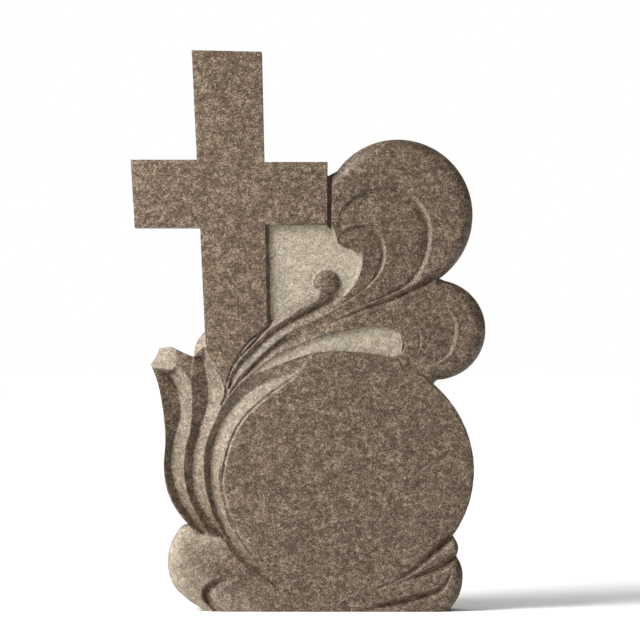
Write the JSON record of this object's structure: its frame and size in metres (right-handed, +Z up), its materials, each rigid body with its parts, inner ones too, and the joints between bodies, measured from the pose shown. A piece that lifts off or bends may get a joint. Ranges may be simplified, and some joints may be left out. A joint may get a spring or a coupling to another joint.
{
  "type": "grave monument",
  "caption": "Upright carved granite slab with a plain cross, a plume of rounded lobes, leaves, a blank oval shield and a rolled base, standing on its flat underside.",
  "frame": {"origin": "middle of the bounding box at the flat underside, where the slab meets the ground", "axes": "+Z up along the cross, +Y out of the flat back, so the carved front faces -Y, +X towards the plume"},
  "size_m": [0.6958, 0.1, 1.1],
  "materials": {
    "granite": "polished brown-grey granite with frosted sunk grounds"
  },
  "bodies": {
    "root": {"stele": "granite"}
  },
  "joints": []
}
